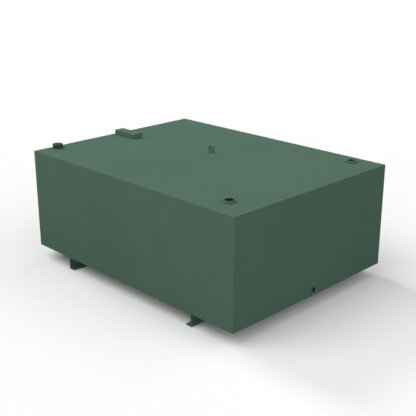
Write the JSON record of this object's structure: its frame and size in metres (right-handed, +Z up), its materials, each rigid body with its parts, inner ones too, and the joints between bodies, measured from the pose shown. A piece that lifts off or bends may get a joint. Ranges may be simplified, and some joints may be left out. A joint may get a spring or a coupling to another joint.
{
  "type": "bunded oil tank",
  "caption": "Low rectangular bunded steel oil tank on channel bearers: an inner tank inside an outer one, with threaded deck bosses, a screw cap, a lift-off cover and a lifting eye.",
  "frame": {"origin": "on the ground under the middle of the outer box, on the plane of the bearers' undersides", "axes": "+X along the tank to the end with the drain socket, +Y from the front (the long side nearest the fill cap and the vent boss) to the back, +Z up"},
  "size_m": [2.008, 1.5, 0.87],
  "materials": {
    "green_paint": "smooth satin green paint on steel",
    "grey_primer": "matt grey primer on steel",
    "cap_plastic": "fine-grained dark green moulded plastic",
    "seal_rubber": "black rubber"
  },
  "bodies": {
    "tank": {"bearer_left": "green_paint", "bearer_right": "green_paint", "bund_floor": "green_paint", "bund_front": "green_paint", "bund_back": "green_paint", "bund_left_end": "green_paint", "bund_right_end": "green_paint", "bund_deck": "green_paint", "tank_floor": "grey_primer", "tank_front": "grey_primer", "tank_back": "grey_primer", "tank_left_end": "grey_primer", "tank_right_end": "grey_primer", "tank_top": "grey_primer", "baffle_left": "grey_primer", "baffle_right": "grey_primer", "striker_plate": "grey_primer", "support_left": "grey_primer", "support_right": "grey_primer", "deck_stiffener_left": "grey_primer", "deck_stiffener_middle": "grey_primer", "deck_stiffener_right": "grey_primer", "stay_front_left": "grey_primer", "stay_front_right": "grey_primer", "stay_back_left": "grey_primer", "stay_back_right": "grey_primer", "stay_left_front": "grey_primer", "stay_left_back": "grey_primer", "stay_right_front": "grey_primer", "stay_right_back": "grey_primer", "fill_nipple": "green_paint", "vent_boss": "green_paint", "outlet_boss": "green_paint", "fill_riser": "grey_primer", "vent_riser": "grey_primer", "suction_pipe": "grey_primer", "suction_stay": "grey_primer", "drain_socket": "green_paint", "inspection_coaming": "green_paint", "lifting_eye": "green_paint"},
    "fill_seal": {"fill_seal": "seal_rubber"},
    "fill_cap": {"fill_cap": "cap_plastic"},
    "inspection_cover": {"inspection_cover": "green_paint"}
  },
  "joints": [
    {"name": "cap_rise", "type": "slide", "parent": "tank", "child": "fill_seal", "axis": [0, 0, 1], "range_m": [0, 0.0116]},
    {"name": "cap_turn", "type": "hinge", "parent": "fill_seal", "child": "fill_cap", "pos_m": [-0.944, -0.581, 0.847], "axis": [0, 0, 1], "range_deg": [0, 1800]},
    {"name": "cover_lift", "type": "slide", "parent": "tank", "child": "inspection_cover", "axis": [0, 0, 1], "range_m": [0, 0.07]}
  ],
  "couplings": [
    {"joint": "cap_rise", "follows": "cap_turn", "m_per_rad": 0.00036748}
  ]
}
